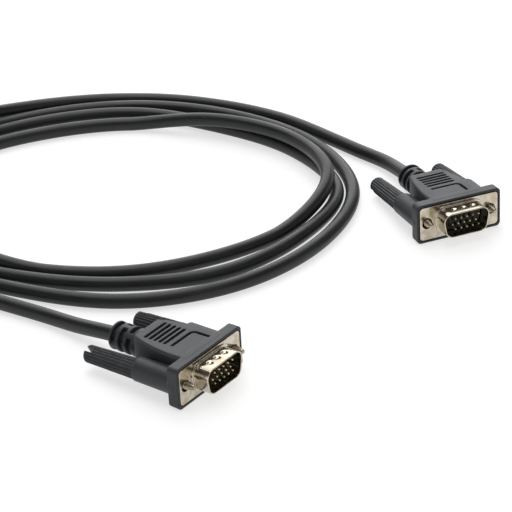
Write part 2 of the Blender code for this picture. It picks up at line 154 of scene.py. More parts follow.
@dataclass(frozen=True)
class MouldedPvc:
    """Flexible PVC, injection moulded in a spark-eroded tool: matt, with a fine even grain."""

    name: str = "moulded flexible PVC"
    base: str = "2f3134"
    light: str = "393b3f"
    roughness: float = 0.48
    specular: float = 0.4
    grain_mm: float = 0.35      # real grain is near 0.1 mm; drawn coarser, so that it shows
    cloud_mm: float = 9.0       # slow drift of tone that handling leaves
    tone_places: tuple[float, float] = (0.35, 0.7)
    spread: tuple[float, float] = (-0.04, 0.06)      # what the cloud adds to the roughness
    bump: float = 0.5
    bump_mm: float = 0.02

    def build(self) -> bpy.types.Material:
        """Make the material.

        Returns:
            The material.
        """
        made = bpy.data.materials.new(self.name)
        made.use_nodes = True
        tree = made.node_tree
        shader = tree.nodes["Principled BSDF"]
        place = add_node(tree, "ShaderNodeTexCoord").outputs["Object"]
        cloud = add_node(tree, "ShaderNodeTexNoise", None,
                         {"Vector": place, "Scale": 1 / (self.cloud_mm * MM), "Detail": 3.0})
        tone = add_node(tree, "ShaderNodeValToRGB", None, {"Fac": cloud.outputs["Fac"]})
        set_ramp(tone, self.tone_places, (self.base, self.light))
        grain = add_node(tree, "ShaderNodeTexNoise", None,
                         {"Vector": place, "Scale": 1 / (self.grain_mm * MM), "Detail": 2.0})
        rough = add_node(tree, "ShaderNodeMapRange", None,
                         {"Value": cloud.outputs["Fac"], "From Min": NOISE_LOW, "From Max": NOISE_HIGH,
                          "To Min": self.roughness + self.spread[0],
                          "To Max": self.roughness + self.spread[1]})
        bump = add_node(tree, "ShaderNodeBump", None,
                        {"Height": grain.outputs["Fac"], "Strength": self.bump,
                         "Distance": self.bump_mm * MM})
        tree.links.new(tone.outputs["Color"], shader.inputs["Base Color"])
        tree.links.new(rough.outputs["Result"], shader.inputs["Roughness"])
        tree.links.new(bump.outputs["Normal"], shader.inputs["Normal"])
        shader.inputs["IOR"].default_value = PVC_IOR
        shader.inputs["Specular IOR Level"].default_value = self.specular
        return made


@dataclass(frozen=True)
class ExtrudedJacket:
    """Soft PVC jacket, extruded round the wires: satin, with faint draw lines along its length."""

    name: str = "extruded PVC jacket"
    base: str = "17181a"
    light: str = "1e2022"
    roughness: float = 0.4
    specular: float = 0.4
    lines_mm: float = 0.7
    swell_mm: float = 14.0      # slow dips where the jacket follows the twisted pairs
    peel_mm: float = 0.9
    line_length_mm: float = 50.0
    tone_places: tuple[float, float] = (0.35, 0.68)
    spread: tuple[float, float] = (-0.05, 0.07)      # what the swell adds to the roughness
    bump: float = 0.35
    bump_mm: float = 0.03

    def build(self) -> bpy.types.Material:
        """Make the material; the tube's UV map counts millimetres round and along it.

        Returns:
            The material.
        """
        made = bpy.data.materials.new(self.name)
        made.use_nodes = True
        tree = made.node_tree
        shader = tree.nodes["Principled BSDF"]
        way = add_node(tree, "ShaderNodeUVMap", {"uv_map": "along"}).outputs["UV"]
        place = add_node(tree, "ShaderNodeTexCoord").outputs["Object"]
        drawn = add_node(tree, "ShaderNodeMapping", None,
                         {"Vector": way, "Scale": (1 / self.lines_mm, 1 / self.line_length_mm, 1.0)})
        lines = add_node(tree, "ShaderNodeTexNoise", None,
                         {"Vector": drawn.outputs["Vector"], "Scale": 1.0, "Detail": 2.0})
        peel = add_node(tree, "ShaderNodeTexNoise", None,
                        {"Vector": place, "Scale": 1 / (self.peel_mm * MM), "Detail": 2.0})
        swell = add_node(tree, "ShaderNodeTexNoise", None,
                         {"Vector": place, "Scale": 1 / (self.swell_mm * MM), "Detail": 2.0})
        tone = add_node(tree, "ShaderNodeValToRGB", None, {"Fac": swell.outputs["Fac"]})
        set_ramp(tone, self.tone_places, (self.base, self.light))
        rough = add_node(tree, "ShaderNodeMapRange", None,
                         {"Value": swell.outputs["Fac"], "From Min": NOISE_LOW, "From Max": NOISE_HIGH,
                          "To Min": self.roughness + self.spread[0],
                          "To Max": self.roughness + self.spread[1]})
        first = add_node(tree, "ShaderNodeBump", None,
                         {"Height": lines.outputs["Fac"], "Strength": self.bump,
                          "Distance": self.bump_mm * MM})
        second = add_node(tree, "ShaderNodeBump", None,
                          {"Height": peel.outputs["Fac"], "Strength": self.bump,
                           "Distance": self.bump_mm * MM, "Normal": first.outputs["Normal"]})
        tree.links.new(tone.outputs["Color"], shader.inputs["Base Color"])
        tree.links.new(rough.outputs["Result"], shader.inputs["Roughness"])
        tree.links.new(second.outputs["Normal"], shader.inputs["Normal"])
        shader.inputs["IOR"].default_value = PVC_IOR
        shader.inputs["Specular IOR Level"].default_value = self.specular
        return made


@dataclass(frozen=True)
class PlatedMetal:
    """Plated metal: rolled or turned before plating, with a soft uneven shine and faint stains."""

    name: str
    base: str
    stain: str
    roughness: float
    scratch_mm: tuple[float, float, float] = (0.12, 2.5, 0.12)
    stain_mm: float = 2.6
    tone_places: tuple[float, float] = (0.38, 0.6)
    spread: tuple[float, float] = (-0.06, 0.08)      # what the scratches add to the roughness
    bump: float = 0.12
    bump_mm: float = 0.02

    def build(self) -> bpy.types.Material:
        """Make the material.

        Returns:
            The material.
        """
        made = bpy.data.materials.new(self.name)
        made.use_nodes = True
        tree = made.node_tree
        shader = tree.nodes["Principled BSDF"]
        place = add_node(tree, "ShaderNodeTexCoord").outputs["Object"]
        stain = add_node(tree, "ShaderNodeTexNoise", None,
                         {"Vector": place, "Scale": 1 / (self.stain_mm * MM), "Detail": 3.0})
        tone = add_node(tree, "ShaderNodeValToRGB", None, {"Fac": stain.outputs["Fac"]})
        set_ramp(tone, self.tone_places, (self.stain, self.base))
        fine = add_node(tree, "ShaderNodeMapping", None,
                        {"Vector": place, "Scale": tuple(1 / (s * MM) for s in self.scratch_mm)})
        scratch = add_node(tree, "ShaderNodeTexNoise", None,
                           {"Vector": fine.outputs["Vector"], "Scale": 1.0, "Detail": 2.0})
        rough = add_node(tree, "ShaderNodeMapRange", None,
                         {"Value": scratch.outputs["Fac"], "From Min": NOISE_LOW, "From Max": NOISE_HIGH,
                          "To Min": self.roughness + self.spread[0],
                          "To Max": self.roughness + self.spread[1]})
        bump = add_node(tree, "ShaderNodeBump", None,
                        {"Height": scratch.outputs["Fac"], "Strength": self.bump,
                         "Distance": self.bump_mm * MM})
        tree.links.new(tone.outputs["Color"], shader.inputs["Base Color"])
        tree.links.new(rough.outputs["Result"], shader.inputs["Roughness"])
        tree.links.new(bump.outputs["Normal"], shader.inputs["Normal"])
        shader.inputs["Metallic"].default_value = 1.0
        return made


@dataclass(frozen=True)
class GlassFilledNylon:
    """Black glass-filled nylon of the contact block: near black, with a faint speckle of fibre."""

    name: str = "glass-filled nylon"
    base: str = "131313"
    fibre: str = "1f1f20"
    roughness: float = 0.38
    fibre_mm: float = 0.3
    tone_places: tuple[float, float] = (0.45, 0.75)
    bump: float = 0.3
    bump_mm: float = 0.01
    ior: float = 1.53

    def build(self) -> bpy.types.Material:
        """Make the material.

        Returns:
            The material.
        """
        made = bpy.data.materials.new(self.name)
        made.use_nodes = True
        tree = made.node_tree
        shader = tree.nodes["Principled BSDF"]
        place = add_node(tree, "ShaderNodeTexCoord").outputs["Object"]
        fleck = add_node(tree, "ShaderNodeTexNoise", None,
                         {"Vector": place, "Scale": 1 / (self.fibre_mm * MM), "Detail": 3.0})
        tone = add_node(tree, "ShaderNodeValToRGB", None, {"Fac": fleck.outputs["Fac"]})
        set_ramp(tone, self.tone_places, (self.base, self.fibre))
        bump = add_node(tree, "ShaderNodeBump", None,
                        {"Height": fleck.outputs["Fac"], "Strength": self.bump,
                         "Distance": self.bump_mm * MM})
        tree.links.new(tone.outputs["Color"], shader.inputs["Base Color"])
        tree.links.new(bump.outputs["Normal"], shader.inputs["Normal"])
        shader.inputs["Roughness"].default_value = self.roughness
        shader.inputs["IOR"].default_value = self.ior
        return made


@dataclass(frozen=True)
class Finishes:
    """The materials of the whole cable, built once."""

    hood: bpy.types.Material = field(default_factory=lambda: MouldedPvc().build())
    jacket: bpy.types.Material = field(default_factory=lambda: ExtrudedJacket().build())
    nickel: bpy.types.Material = field(
        default_factory=lambda: PlatedMetal("nickel-plated steel", "c9c1b2", "b3a995", 0.15).build())
    steel: bpy.types.Material = field(
        default_factory=lambda: PlatedMetal("turned plated steel", "b3a996", "8f8470", 0.3).build())
    gold: bpy.types.Material = field(
        default_factory=lambda: PlatedMetal("flash gold on brass", "ece3c6", "c2b48c", 0.34).build())
    nylon: bpy.types.Material = field(default_factory=lambda: GlassFilledNylon().build())


# ---- shapes


def round_max(a: np.ndarray, b: np.ndarray, radius: float) -> np.ndarray:
    """Distance to what two solids share, with a round edge where they meet.

    It is the larger distance where both are deep inside, and near the edge minus the radius plus the
    length of the two amounts by which the distances pass minus the radius.

    Args:
        a: Distances to one solid.
        b: Distances to the other.
        radius: Radius of the edge.

    Returns:
        Distances to what they share.
    """
    past = np.hypot(np.maximum(a + radius, 0), np.maximum(b + radius, 0))
    return np.minimum(-radius, np.maximum(a, b)) + past


def round_min(a: np.ndarray, b: np.ndarray, radius: float) -> np.ndarray:
    """Distance to two solids joined, with a hollow fillet: round_max of both turned inside out."""
    return -round_max(-a, -b, radius)


def cut(a: np.ndarray, b: np.ndarray, radius: float) -> np.ndarray:
    """Distance to the first solid with the second taken away, the new rim rounded."""
    return round_max(a, -b, radius)


def net_surface(distance: Distance, low: tuple, high: tuple, cell: float) -> Surface:
    """Wrap a closed mesh of quads round the solid that a distance function describes.

    The function is worked out on a grid of corners. Each cell that the surface crosses gets one point,
    the mean of the places where the surface cuts the cell's edges, which then slides along the
    gradient onto the surface. Each grid edge that is cut joins the four cells round it in a quad.

    Args:
        distance: Signed distance of points, negative inside.
        low: Lowest corner of the grid.
        high: Highest corner of the grid.
        cell: Size of a cell.

    Returns:
        The points and the quads, facing out.
    """
    axes = [np.arange(a, b + cell, cell) for a, b in zip(low, high)]
    corners = np.stack(np.meshgrid(*axes, indexing="ij"), axis=-1)
    values = distance(corners)
    inside = values < 0
    shape = np.array(inside.shape) - 1
    steps = np.array([(i, j, k) for i in (0, 1) for j in (0, 1) for k in (0, 1)])
    stacked = np.stack([inside[i:i + shape[0], j:j + shape[1], k:k + shape[2]] for i, j, k in steps])
    cells = np.argwhere(stacked.any(axis=0) & ~stacked.all(axis=0))
    number = np.full(shape, -1)
    number[tuple(cells.T)] = np.arange(len(cells))
    total = np.zeros((len(cells), 3))
    count = np.zeros((len(cells), 1))
    for first in range(8):
        for second in range(first + 1, 8):
            if np.abs(steps[first] - steps[second]).sum() != 1:
                continue
            a = values[tuple((cells + steps[first]).T)]
            b = values[tuple((cells + steps[second]).T)]
            crossed = (a < 0) != (b < 0)
            share = np.where(crossed, a / np.where(crossed, a - b, 1), 0)[:, None]
            spot = steps[first] + share * (steps[second] - steps[first])
            total += np.where(crossed[:, None], spot, 0)
            count += crossed[:, None]
    points = np.array(low) + (cells + total / count) * cell
    reach, limit = np.eye(3) * cell * PROBE, cell * LONGEST_SLIDE
    for _ in range(SLIDES):
        slope = np.stack([distance(points + r) - distance(points - r) for r in reach], axis=1)
        slope /= cell * 2 * PROBE
        steep = np.maximum((slope**2).sum(axis=1), FLATTEST)
        move = -slope * (distance(points) / steep)[:, None]
        points = points + np.clip(move, -limit, limit)
    quads = []
    for axis in range(3):
        one, two = (axis + 1) % 3, (axis + 2) % 3
        ahead = np.moveaxis(inside, axis, 0)
        change = np.argwhere(np.moveaxis(ahead[1:] != ahead[:-1], 0, axis))
        free = (change[:, one] > 0) & (change[:, two] > 0)
        free &= (change[:, one] < shape[one]) & (change[:, two] < shape[two])
        change = change[free]
        back_one, back_two = np.zeros(3, int), np.zeros(3, int)
        back_one[one] = back_two[two] = 1
        ring = [change - back_one - back_two, change - back_two, change, change - back_one]
        faces = np.stack([number[tuple(c.T)] for c in ring], axis=1)
        out = inside[tuple(change.T)]
        quads.append(np.where(out[:, None], faces, faces[:, ::-1]))
    return points, np.concatenate(quads)


def grid_faces(rows: int, columns: int, closed_rows: bool, closed_columns: bool) -> np.ndarray:
    """Quads of a grid of points.

    Args:
        rows: Number of rows.
        columns: Number of points in a row.
        closed_rows: Whether the last row joins the first.
        closed_columns: Whether the last point of a row joins its first.

    Returns:
        Four point numbers to a quad.
    """
    i = np.arange(rows if closed_rows else rows - 1)[:, None]
    j = np.arange(columns if closed_columns else columns - 1)[None, :]
    up, side = (i + 1) % rows, (j + 1) % columns
    ring = [i * columns + j, i * columns + side, up * columns + side, up * columns + j]
    return np.stack(ring, axis=-1).reshape(-1, 4)


def turned(profile: np.ndarray, sides: int) -> Surface:
    """Turn a profile round X.

    A point is (x, r cos a, r sin a) for each (x, r) of the profile and each angle a. The profile
    starts and ends on the axis, where its first and last rings are tiny.

    Args:
        profile: (x, r) pairs from the back to the front.
        sides: Number of angles.

    Returns:
        Points and quads.
    """
    angles = np.arange(sides) * FULL_TURN / sides
    x = np.repeat(profile[:, :1], sides, axis=1)
    y = profile[:, 1:] * np.cos(angles)
    z = profile[:, 1:] * np.sin(angles)
    return np.stack([x, y, z], axis=-1).reshape(-1, 3), grid_faces(len(profile), sides, False, True)


def make_piece(
    name: str,
    points: np.ndarray,
    faces: np.ndarray,
    material: bpy.types.Material,
    uv: np.ndarray | None = None,
) -> bpy.types.Object:
    """Put points in metres and quads into a smooth mesh object at the origin.

    Args:
        name: Name of the piece.
        points: Points in the row frame.
        faces: Quads.
        material: Its finish.
        uv: A pair for each corner of each quad, kept as the UV map called along.

    Returns:
        The object, linked to the scene.
    """
    mesh = bpy.data.meshes.new(name)
    mesh.vertices.add(len(points))
    mesh.vertices.foreach_set("co", points.astype(np.float32).ravel())
    mesh.loops.add(faces.size)
    mesh.loops.foreach_set("vertex_index", faces.astype(np.int32).ravel())
    mesh.polygons.add(len(faces))
    mesh.polygons.foreach_set("loop_start", np.arange(0, faces.size, 4, dtype=np.int32))
    mesh.polygons.foreach_set("use_smooth", np.ones(len(faces), bool))
    if uv is not None:
        mesh.uv_layers.new(name="along").data.foreach_set("uv", uv.astype(np.float32).ravel())
    mesh.update(calc_edges=True)
    mesh.validate()
    mesh.materials.append(material)
    made = bpy.data.objects.new(name, mesh)
    bpy.context.scene.collection.objects.link(made)
    return made


@dataclass(frozen=True)
class Place:
    """Where a plug lies: middle of its plate over the table, heading, and how far its nose points up."""

    x: float
    y: float
    heading: float
    nose_up: float
    half_height: float = 7.4

    def apply(self, points: np.ndarray) -> np.ndarray:
        """Move points from the plug's frame in millimetres to the row frame in metres.

        Args:
            points: Points in millimetres; the last axis is x, y, z.

        Returns:
            The same points in metres, tilted by the nose angle, turned to the heading and set down.
        """
        tilt, turn = math.radians(self.nose_up), math.radians(self.heading)
        x = points[..., 0] * math.cos(tilt) - points[..., 2] * math.sin(tilt)
        z = points[..., 0] * math.sin(tilt) + points[..., 2] * math.cos(tilt)
        y = points[..., 1]
        moved = np.stack([
            self.x + x * math.cos(turn) - y * math.sin(turn),
            self.y + x * math.sin(turn) + y * math.cos(turn),
            self.half_height * math.cos(tilt) + z,
        ], axis=-1)
        return moved * MM


# How far each thumbscrew is turned, in degrees, as the driver slots show
KNOB_TURNS = {(End.NEAR, Side.LEFT): 55.0, (End.NEAR, Side.RIGHT): 115.0,
              (End.FAR, Side.LEFT): 34.0, (End.FAR, Side.RIGHT): 34.0}
PLACES = {End.NEAR: Place(-30.95, -61.3, -37.5, 1.6), End.FAR: Place(56.25, 32.3, -67.3, 3.1)}


@dataclass(frozen=True)
class DShape:
    """Inside outline of the D-shaped shell, wide side up, in millimetres."""

    half_width: float = 8.46
    half_height: float = 4.18
    corner: float = 2.6
    slant: float = 10.0
    arc_points: int = 10

    def distance(self, y: np.ndarray, z: np.ndarray, offset: float) -> np.ndarray:
        """Distance to the outline moved out: two flats and two slanted sides, with round corners.

        Args:
            y: Places across.
            z: Places up.
            offset: How far the outline is moved out.

        Returns:
            The distances, negative inside.
        """
        lean = math.radians(self.slant)
        level = self.half_height - self.corner
        side = (np.abs(y) - (self.half_width - self.corner)) * math.cos(lean)
        side = side - (z - level) * math.sin(lean) - self.corner - offset
        radius = self.corner + offset
        return round_max(side, np.abs(z) - self.half_height - offset, radius)

    def walk(self, spacing: float) -> tuple[np.ndarray, np.ndarray]:
        """Walk round the inside outline, counterclockwise seen from the front.

        Each corner is an arc about its centre, and each side a straight run between two arcs in steps
        of about the spacing.

        Args:
            spacing: Length of a step along a side.

        Returns:
            The points and their normals.
        """
        lean, radius = math.radians(self.slant), self.corner
        level = self.half_height - radius
        top = self.half_width - radius
        bottom = top - 2 * level * math.tan(lean)
        corners = [
            (top, level, -lean, math.pi / 2),
            (-top, level, math.pi / 2, math.pi + lean),
            (-bottom, -level, math.pi + lean, 1.5 * math.pi),
            (bottom, -level, 1.5 * math.pi, FULL_TURN - lean),
        ]
        points, normals = [], []
        for k, (y, z, start, stop) in enumerate(corners):
            angles = np.linspace(start, stop, self.arc_points)
            way = np.stack([np.cos(angles), np.sin(angles)], axis=1)
            arc = np.array([y, z]) + radius * way
            after = corners[(k + 1) % 4]
            goal = np.array(after[:2]) + radius * np.array([math.cos(after[2]), math.sin(after[2])])
            steps = max(2, round(float(np.linalg.norm(goal - arc[-1])) / spacing))
            share = np.linspace(0, 1, steps + 1)[1:-1, None]
            points += [arc, arc[-1] + share * (goal - arc[-1])]
            normals += [way, np.repeat(way[-1:], len(share), axis=0)]
        return np.concatenate(points), np.concatenate(normals)


# ---- pieces of a plug


@dataclass(frozen=True)
class Hood:
    """The hood: flange, narrowing body, screw sleeves and grooved strain relief in one moulding."""

    shape: DShape = DShape()
    flange_width: float = 33.0
    flange_height: float = 14.8
    flange_depth: float = 4.2
    flange_corner: float = 1.6
    top_draft: float = 1.2
    bottom_draft: float = 3.1
    body_back: float = -26.0
    shoulder: float = -16.5
    body_width: float = 19.2
    tail_width: float = 12.6
    sleeve_y: float = 12.495
    sleeve_back: float = -18.8
    sleeve_radii: tuple[float, float] = (4.15, 4.05)
    bore: float = 1.95
    relief_back: float = -38.2
    relief_radius: float = 4.8
    relief_root: float = 3.3
    groove_width: float = 1.85
    grooves: tuple[tuple[float, float], ...] = ((-36.3, 108.0), (-33.1, 2.0), (-29.9, 40.0))
    bridge: float = 1.9
    cable_radius: float = 2.62
    slots: tuple[float, float, int] = (-21.7, 1.97, 5)
    slot_half_length: float = 4.9
    slot_width: float = 1.05
    slot_depth: float = 1.0
    slot_floor_edge: float = 0.15
    groove_line: float = -10.9      # bent groove: its run across the hood
    groove_side: float = 5.6        # and its run along one side
    groove_corner: float = 1.6
    groove_end: float = -4.7
    groove_front: float = -4.6
    flange_edge: float = 0.35
    shoulder_round: float = 3.0
    body_back_round: float = 1.2
    body_edge: float = 1.0
    sleeve_edge: float = 0.25
    relief_edge: float = 0.4
    relief_overlap: float = 4.0
    ring_edge: float = 0.35
    bridge_edge: float = 0.2
    body_fillet: float = 0.3
    sleeve_fillet: float = 0.35
    relief_fillet: float = 0.5
    recess: tuple[float, float, float] = (15.7, 6.55, 1.1)      # half width, half height and depth
    recess_rim: float = 0.12
    well_depth: float = 6.3
    well_rim: float = 0.1
    bore_rim: float = 0.2
    cable_hole_front: float = -35.5
    cable_hole_rim: float = 0.25
    cell: float = 0.24
    margin: float = 0.5

    def distance(self, p: np.ndarray) -> np.ndarray:
        """Signed distance to the whole moulding.

        Blocks are shared half-spaces with round edges, joined with hollow fillets; then the recess for
        the plate, the well for the contacts, the bores, the cable's hole and the marks in the top come
        out.

        Args:
            p: Points; the last axis is x, y, z.

        Returns:
            The distances, negative inside.
        """
        x, y, z = p[..., 0], p[..., 1], p[..., 2]
        side, out, seat = np.abs(y), np.hypot(y, z), x + self.flange_depth / 2
        slope = [math.tan(math.radians(draft)) for draft in (self.top_draft, self.bottom_draft)]
        level = np.abs(z) - self.flange_height / 2 - x * np.where(z > 0, *slope)
        flange = round_max(side - self.flange_width / 2, level, self.flange_corner)
        flange = round_max(flange, np.abs(seat) - self.flange_depth / 2, self.flange_edge)
        run, drop = self.shoulder - self.body_back, (self.body_width - self.tail_width) / 2
        taper = ((side - self.body_width / 2) * run - (x - self.shoulder) * drop) / math.hypot(run, drop)
        body = round_max(side - self.body_width / 2, taper, self.shoulder_round)
        body = round_max(body, self.body_back - x, self.body_back_round)
        body = np.maximum(round_max(body, level, self.body_edge), seat)
        front, back = self.sleeve_radii
        radius = front + (back - front) * x / self.sleeve_back
        sleeve = np.hypot(side - self.sleeve_y, z) - radius
        sleeve = np.maximum(round_max(sleeve, self.sleeve_back - x, self.sleeve_edge), seat)
        whole = round_min(round_min(flange, body, self.body_fillet), sleeve, self.sleeve_fillet)
        relief = round_max(out - self.relief_radius, self.relief_back - x, self.relief_edge)
        relief = np.maximum(relief, x - self.body_back - self.relief_overlap)
        whole = round_min(whole, relief, self.relief_fillet)
        for place, turn in self.grooves:
            whole = cut(whole, self.ring(x, y, z, place, turn), self.bridge_edge)
        half_width, half_height, depth = self.recess
        recess = round_max(side - half_width, np.abs(z) - half_height, self.flange_corner)
        whole = cut(whole, np.maximum(recess, -depth - x), self.recess_rim)
        whole = cut(whole, np.maximum(self.shape.distance(y, z, 0.0), -self.well_depth - x), self.well_rim)
        whole = cut(whole, np.hypot(side - self.sleeve_y, z) - self.bore, self.bore_rim)
        hole = np.maximum(out - self.cable_radius, x - self.cable_hole_front)
        return cut(cut(whole, hole, self.cable_hole_rim), self.top_marks(x, y, z), self.recess_rim)

    def ring(self, x: np.ndarray, y: np.ndarray, z: np.ndarray, place: float, turn: float) -> np.ndarray:
        """Distance to one groove of the strain relief: a ring outside the root, less two bridges.

        Args:
            x: Places along the plug.
            y: Places across.
            z: Places up.
            place: Middle of the groove.
            turn: Angle of its first bridge, in degrees; the other lies opposite.

        Returns:
            The distances, negative inside.
        """
        within = np.abs(x - place) - self.groove_width / 2
        ring = round_max(within, self.relief_root - np.hypot(y, z), self.ring_edge)
        for angle in (math.radians(turn), math.radians(turn + 180.0)):
            across = -z * math.sin(angle) - y * math.cos(angle)
            along = z * math.cos(angle) - y * math.sin(angle)
            ring = cut(ring, np.maximum(np.abs(across) - self.bridge / 2, -along), self.bridge_edge)
        return ring

    def top_marks(self, x: np.ndarray, y: np.ndarray, z: np.ndarray) -> np.ndarray:
        """Distance to the grip slots and the bent groove in the top.

        A slot is all that lies within half its width of a line across the hood. The bent groove
        follows a line across, a quarter circle and a line forwards.

        Args:
            x: Places along the plug.
            y: Places across.
            z: Places up.

        Returns:
            The distances, negative inside.
        """
        first, pitch, count = self.slots
        off = np.maximum(np.abs(y) - self.slot_half_length, 0)
        lines = [np.hypot(x - first - i * pitch, off) for i in range(count)]
        start, stop = self.groove_line + self.groove_corner, self.groove_side - self.groove_corner
        middle, reach = (stop + self.groove_end) / 2, (stop - self.groove_end) / 2
        lines.append(np.hypot(x - self.groove_line, np.maximum(np.abs(y - middle) - reach, 0)))
        middle, reach = (start + self.groove_front) / 2, (self.groove_front - start) / 2
        lines.append(np.hypot(np.maximum(np.abs(x - middle) - reach, 0), y - self.groove_side))
        bend = np.abs(np.hypot(x - start, y - stop) - self.groove_corner)
        lines.append(np.where((x < start) & (y > stop), bend, FAR_AWAY))
        slope = math.tan(math.radians(self.top_draft))
        floor = self.flange_height / 2 + x * slope - self.slot_depth
        return round_max(np.minimum.reduce(lines) - self.slot_width / 2, floor - z, self.slot_floor_edge)

    def surface(self) -> Surface:
        """Wrap the moulding.

        Returns:
            Points in the plug's frame and quads.
        """
        width, height = self.flange_width / 2 + self.margin, self.flange_height / 2 + self.margin
        low, high = (self.relief_back - self.margin, -width, -height), (self.margin, width, height)
        return net_surface(self.distance, low, high, self.cell)


@dataclass(frozen=True)
class Shell:
    """Plated plate and the D-shaped skirt drawn out of it, with its collar and dimples."""

    shape: DShape = DShape()
    plate_width: float = 30.8
    plate_height: float = 12.5
    plate_corner: float = 1.3
    thickness: float = 0.8
    hole_y: float = 12.495
    hole: float = 1.95
    wall: float = 0.45
    front: float = 5.95
    collar_width: float = 0.8
    collar_height: float = 0.45
    dimples: tuple[float, ...] = (-3.4, 0.3, 4.0)
    dimple_x: float = 2.8
    dimple_radius: float = 0.9
    dimple_depth: float = 0.43
    plate_edge: float = 0.12
    opening_gap: float = 0.1
    opening_rim: float = 0.05
    fillet: float = 0.15
    collar_edge: float = 0.2
    skirt_back: float = -0.75
    rows: int = 24
    outline_step: float = 0.2
    cell: float = 0.17
    margin: float = 0.4

    def plate_distance(self, p: np.ndarray) -> np.ndarray:
        """Distance to the plate: a thin round-cornered slab with two holes and a D-shaped opening.

        Args:
            p: Points; the last axis is x, y, z.

        Returns:
            The distances, negative inside.
        """
        x, y, z = p[..., 0], p[..., 1], p[..., 2]
        half = self.thickness / 2
        side, level = np.abs(y) - self.plate_width / 2, np.abs(z) - self.plate_height / 2
        slab = round_max(side, level, self.plate_corner)
        slab = round_max(slab, np.abs(x + half) - half, self.plate_edge)
        slab = cut(slab, np.hypot(np.abs(y) - self.hole_y, z) - self.hole, self.plate_edge)
        return cut(slab, self.shape.distance(y, z, self.wall + self.opening_gap), self.opening_rim)

    def profile(self) -> np.ndarray:
        """Cross-section of the skirt as (offset from the inside outline, x), once round.

        Up the inner wall, over a half-round lip, down the outer wall, out through a small fillet onto
        the raised collar, round its edge, and down and back under the plate.

        Returns:
            The pairs.
        """
        lip, soft, edge = self.wall / 2, self.fillet, self.collar_edge
        rim, root, outside = self.front - lip, self.collar_height + soft, self.wall + self.collar_width
        turn, bend = np.linspace(math.pi, 0, 7), np.linspace(math.pi, 1.5 * math.pi, 5)[1:]
        fall, ledge = np.linspace(0, math.pi / 2, 6), self.collar_height - edge
        return np.concatenate([
            np.stack([np.zeros(self.rows), np.linspace(self.skirt_back, rim, self.rows)], axis=1)[:-1],
            np.stack([lip + lip * np.cos(turn), rim + lip * np.sin(turn)], axis=1),
            np.stack([np.full(self.rows, self.wall), np.linspace(rim, root, self.rows)], axis=1)[1:],
            np.stack([self.wall + soft + soft * np.cos(bend), root + soft * np.sin(bend)], axis=1),
            np.stack([outside - edge + edge * np.sin(fall), ledge + edge * np.cos(fall)], axis=1),
            [[outside, -0.3], [self.wall + 0.5, -0.7], [0.3, self.skirt_back]],
        ])

    def skirt(self) -> Surface:
        """Carry the profile round the D.

        A point is the outline's point plus the offset times its normal. On the top, the offset drops
        by a flat-bottomed bell curve of the distance to each dimple's middle.

        Returns:
            Points and quads.
        """
        outline, normals = self.shape.walk(self.outline_step)
        profile = self.profile()
        offset = np.repeat(profile[None, :, 0], len(outline), axis=0)
        x = np.repeat(profile[None, :, 1], len(outline), axis=0)
        top = (normals[:, 1:] > 0.999) & (outline[:, 1:] > 0)
        for y in self.dimples:
            away = ((outline[:, :1] - y) ** 2 + (x - self.dimple_x) ** 2) / self.dimple_radius**2
            offset = offset - np.where(top, self.dimple_depth * np.exp(-away**2), 0)
        flat = outline[:, None, :] + offset[..., None] * normals[:, None, :]
        points = np.concatenate([x[..., None], flat], axis=-1)
        return points.reshape(-1, 3), grid_faces(len(outline), len(profile), True, True)

    def surface(self) -> Surface:
        """Plate and skirt together.

        Returns:
            Points in the plug's frame and quads.
        """
        width, height = self.plate_width / 2 + self.margin, self.plate_height / 2 + self.margin
        low, high = (-self.thickness - self.margin, -width, -height), (self.margin, width, height)
        plate, plate_faces = net_surface(self.plate_distance, low, high, self.cell)
        skirt, skirt_faces = self.skirt()
        return np.concatenate([plate, skirt]), np.concatenate([plate_faces, skirt_faces + len(plate)])


@dataclass(frozen=True)
class Contacts:
    """The fifteen round pins in three rows of five, the middle row shifted."""

    pitch: float = 2.29
    row_pitch: float = 1.98
    stagger: float = 0.57
    radius: float = 0.38
    tip: float = 5.15
    back: float = -6.0
    nose: float = 0.6
    sides: int = 16

    def surface(self) -> Surface:
        """All pins: one turned pin with a bullet tip, repeated.

        Returns:
            Points in the plug's frame and quads.
        """
        bend = np.linspace(0, math.pi / 2, 7)[1:]
        start = self.tip - self.nose
        tip = np.stack([start + self.nose * np.sin(bend), self.radius * np.cos(bend) + NEARLY_ZERO], axis=1)
        shaft = np.array([[self.back, NEARLY_ZERO], [self.back, self.radius], [start, self.radius]])
        points, faces = turned(np.concatenate([shaft, tip]), self.sides)
        number = np.arange(PINS)
        rows = number // PINS_IN_ROW
        y = np.where(rows == 1, -self.stagger, self.stagger) + (2 - number % PINS_IN_ROW) * self.pitch
        shift = np.stack([np.zeros(PINS), y, (1 - rows) * self.row_pitch], axis=1)
        every = (points[None] + shift[:, None]).reshape(-1, 3)
        return every, (faces[None] + number[:, None, None] * len(points)).reshape(-1, 4)


